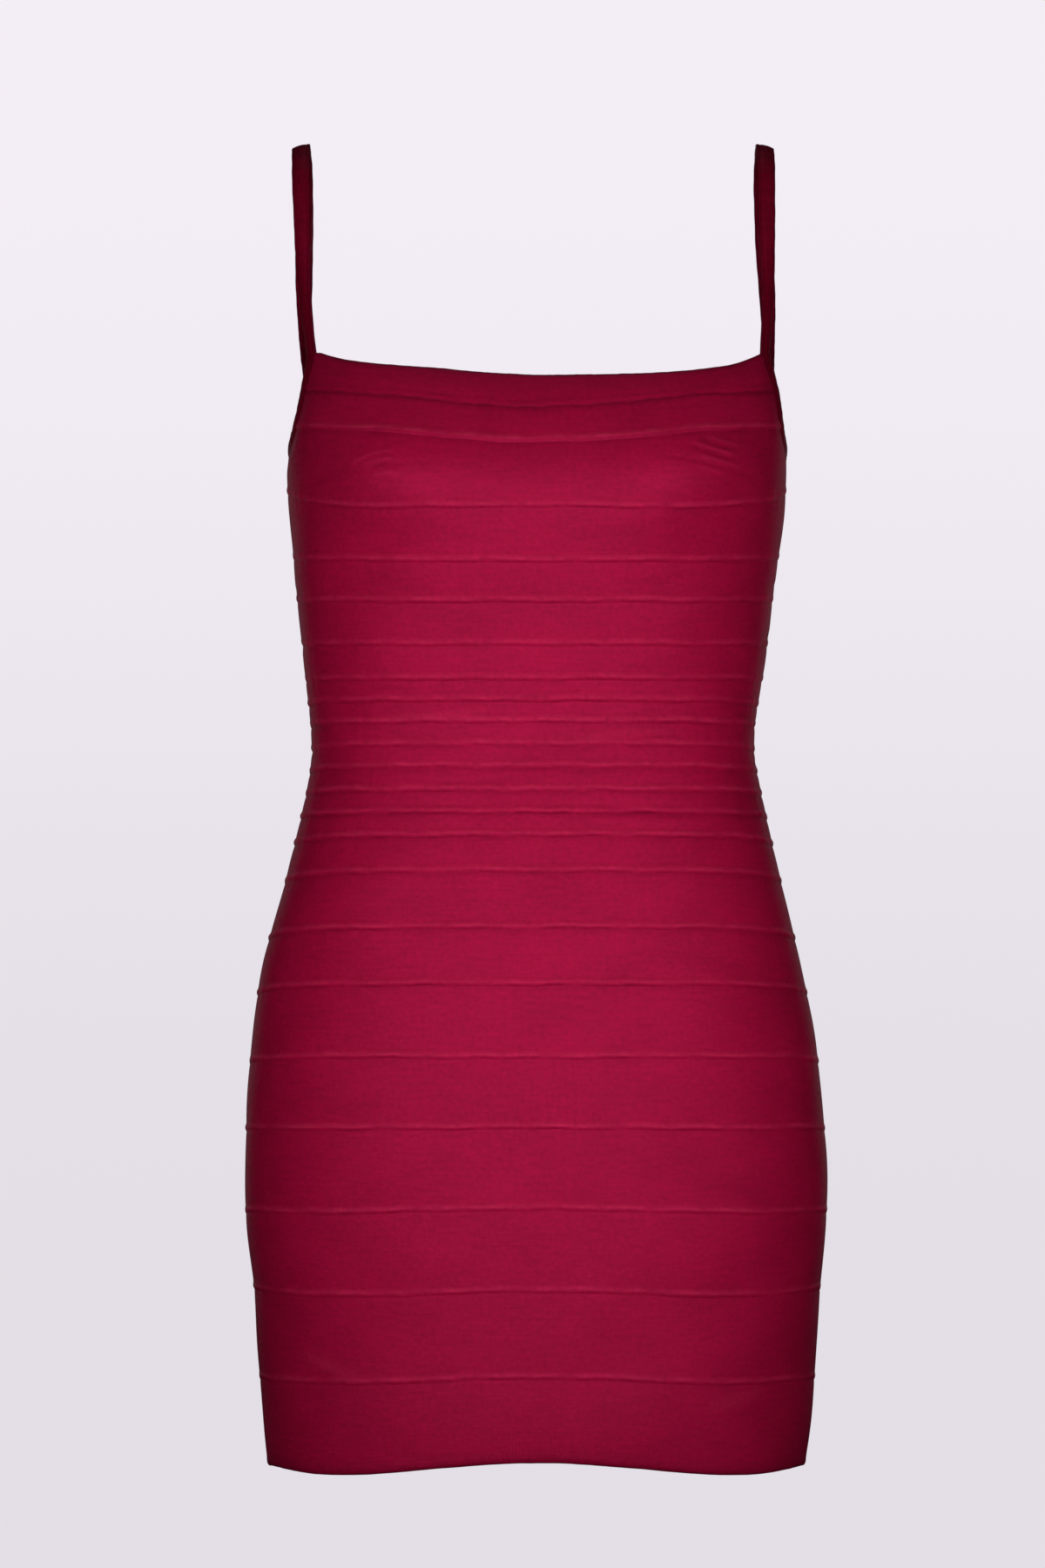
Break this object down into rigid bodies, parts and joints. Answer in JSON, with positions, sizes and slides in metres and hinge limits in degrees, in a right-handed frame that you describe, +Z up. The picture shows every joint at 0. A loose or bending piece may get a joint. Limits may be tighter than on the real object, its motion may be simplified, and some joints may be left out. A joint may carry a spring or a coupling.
{
  "type": "bandage dress",
  "caption": "Short sleeveless fitted dress of horizontal knitted strips sewn edge to edge, with a straight neckline and narrow bound shoulder straps.",
  "frame": {"origin": "midway between the points where the two straps rest on the shoulders, level with the straps' undersides", "axes": "+Z up along the wearer, -Y the way the wearer faces, +X the wearer's left"},
  "size_m": [0.341, 0.2418, 0.7693],
  "materials": {
    "bandage_knit": "matte dense horizontal knit",
    "binding_knit": "matte folded knit binding"
  },
  "bodies": {
    "root": {"front_strip_01": "bandage_knit", "front_strip_02": "bandage_knit", "front_strip_03": "bandage_knit", "front_strip_04": "bandage_knit", "front_strip_05": "bandage_knit", "front_strip_06": "bandage_knit", "front_strip_07": "bandage_knit", "front_strip_08": "bandage_knit", "front_strip_09": "bandage_knit", "front_strip_10": "bandage_knit", "front_strip_11": "bandage_knit", "front_strip_12": "bandage_knit", "front_strip_13": "bandage_knit", "front_strip_14": "bandage_knit", "front_strip_15": "bandage_knit", "front_strip_16": "bandage_knit", "front_strip_17": "bandage_knit", "front_strip_18": "bandage_knit", "front_strip_19": "bandage_knit", "front_strip_20": "bandage_knit", "front_strip_21": "bandage_knit", "front_strip_22": "bandage_knit", "front_strip_23": "bandage_knit", "back_strip_02": "bandage_knit", "back_strip_03": "bandage_knit", "back_strip_04": "bandage_knit", "back_strip_05": "bandage_knit", "back_strip_06": "bandage_knit", "back_strip_07": "bandage_knit", "back_strip_08": "bandage_knit", "back_strip_09": "bandage_knit", "back_strip_10": "bandage_knit", "back_strip_11": "bandage_knit", "back_strip_12": "bandage_knit", "back_strip_13": "bandage_knit", "back_strip_14": "bandage_knit", "back_strip_15": "bandage_knit", "back_strip_16": "bandage_knit", "back_strip_17": "bandage_knit", "back_strip_18": "bandage_knit", "back_strip_19": "bandage_knit", "back_strip_20": "bandage_knit", "back_strip_21": "bandage_knit", "back_strip_22": "bandage_knit", "back_strip_23": "bandage_knit", "armhole_strap_right": "binding_knit", "armhole_strap_left": "binding_knit"}
  },
  "joints": []
}
